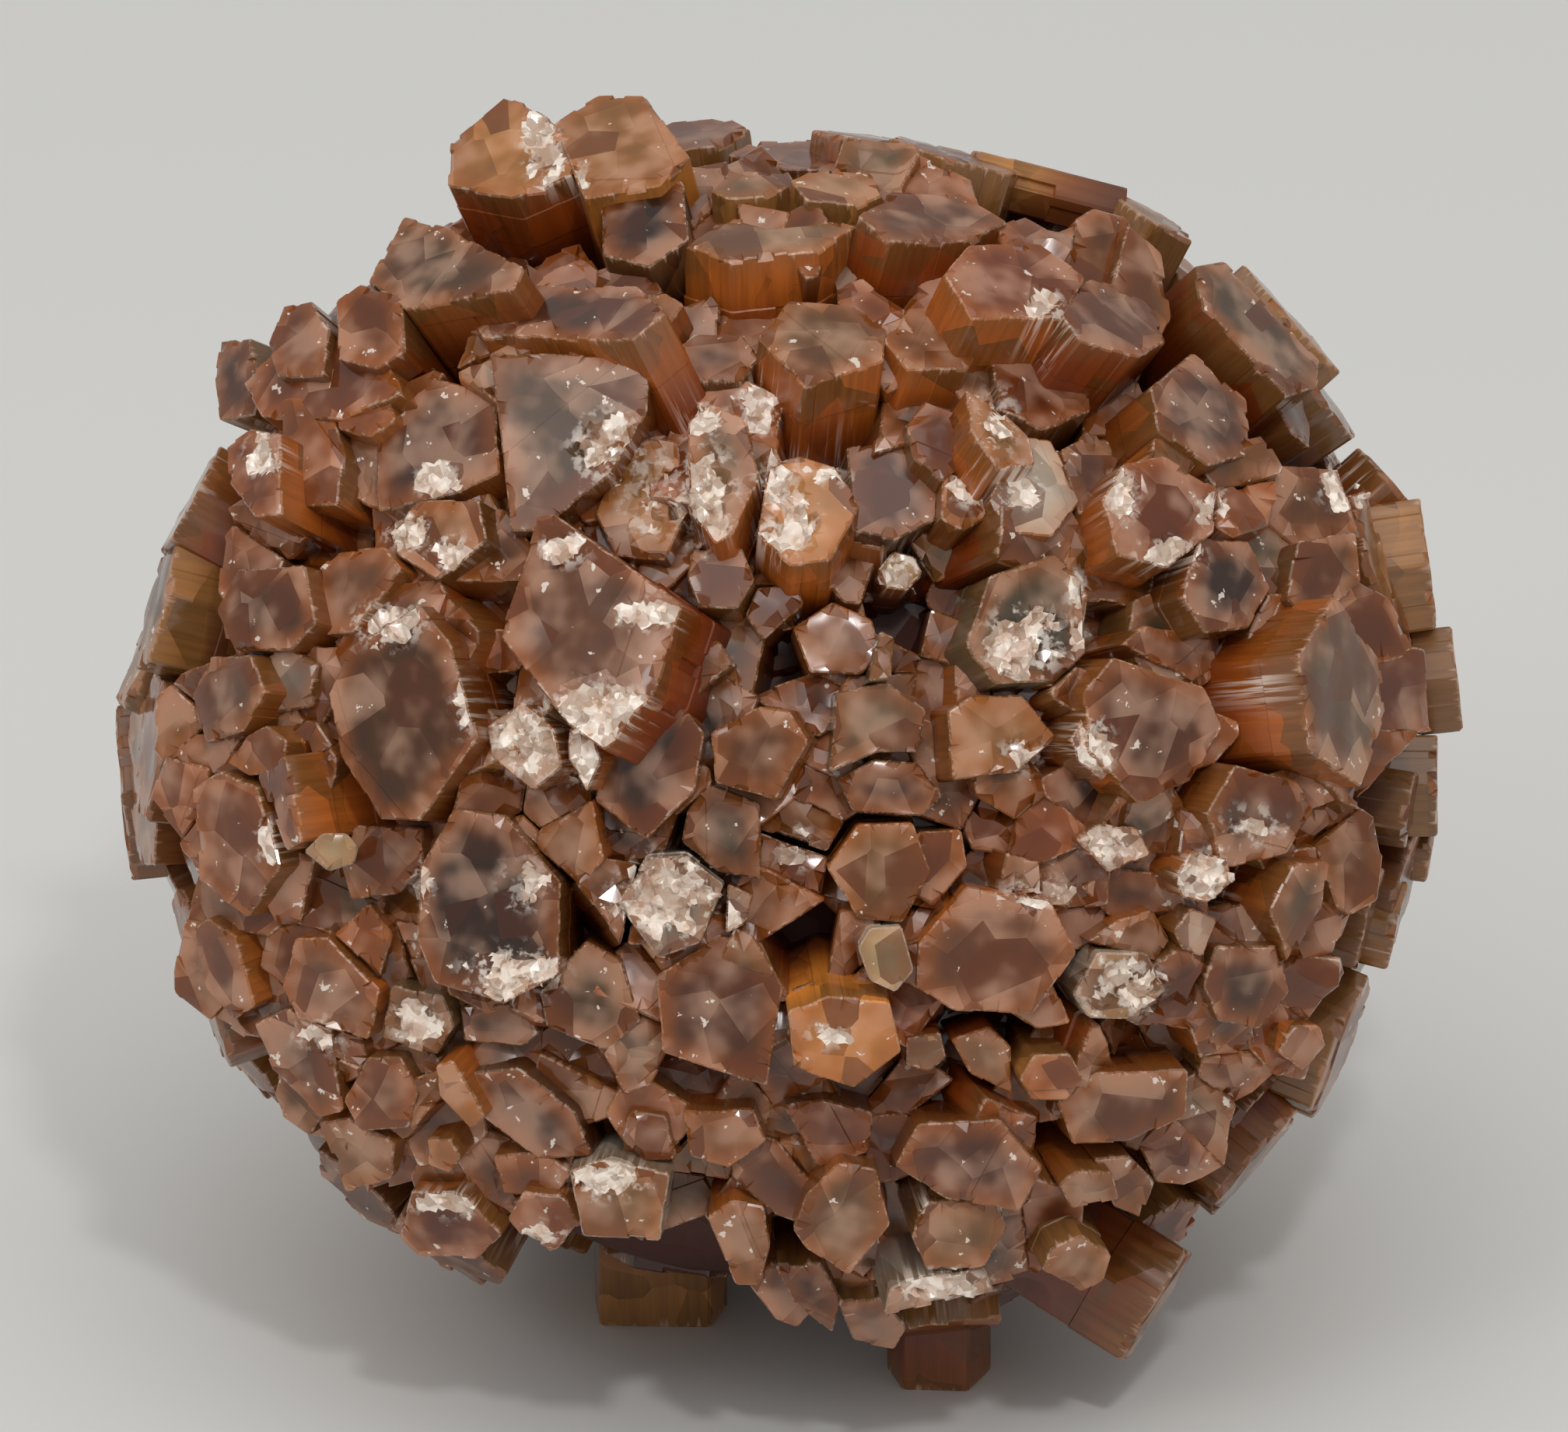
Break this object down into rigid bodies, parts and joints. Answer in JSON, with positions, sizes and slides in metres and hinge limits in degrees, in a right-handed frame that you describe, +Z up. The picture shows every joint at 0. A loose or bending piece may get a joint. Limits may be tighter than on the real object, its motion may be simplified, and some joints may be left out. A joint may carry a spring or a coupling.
{
  "type": "aragonite specimen",
  "caption": "A ball of intergrown six-sided aragonite crystals in orange-brown and mauve-grey, with flat end faces pointing outward on all sides.",
  "frame": {"origin": "On the surface that the specimen stands on, under the middle of its outer box.", "axes": "+Z is up. +X is to the right when the side with the large end faces is looked at. +Y points away from that side, to the back. The longest extent runs along X."},
  "size_m": [0.0696, 0.0594, 0.0646],
  "materials": {
    "aragonite": "glassy crystal, translucent at thin edges, orange-brown prism sides and mauve-grey end faces"
  },
  "bodies": {
    "root": {"aragonite_cluster": "aragonite"}
  },
  "joints": []
}
